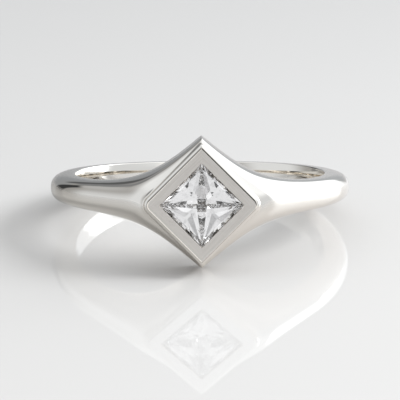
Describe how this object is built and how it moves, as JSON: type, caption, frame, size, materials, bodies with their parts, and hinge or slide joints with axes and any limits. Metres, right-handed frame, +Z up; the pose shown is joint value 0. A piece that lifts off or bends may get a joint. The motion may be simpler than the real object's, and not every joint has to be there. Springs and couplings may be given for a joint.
{
  "type": "bezel set ring",
  "caption": "Polished white metal finger ring whose shoulders flare into a satin square bezel, set point up with a clear square stone, lying on its side.",
  "frame": {"origin": "on the surface that the ring lies on, under the middle of its box", "axes": "+Z up from that surface, -Y the way the bezel faces, +X to the right of someone who looks at the bezel"},
  "size_m": [0.0204, 0.022, 0.0087],
  "materials": {
    "white_gold": "polished, with a fine satin face on the bezel",
    "clear_stone": "polished facets"
  },
  "bodies": {
    "root": {"band_and_bezel": "white_gold", "stone": "clear_stone"}
  },
  "joints": []
}
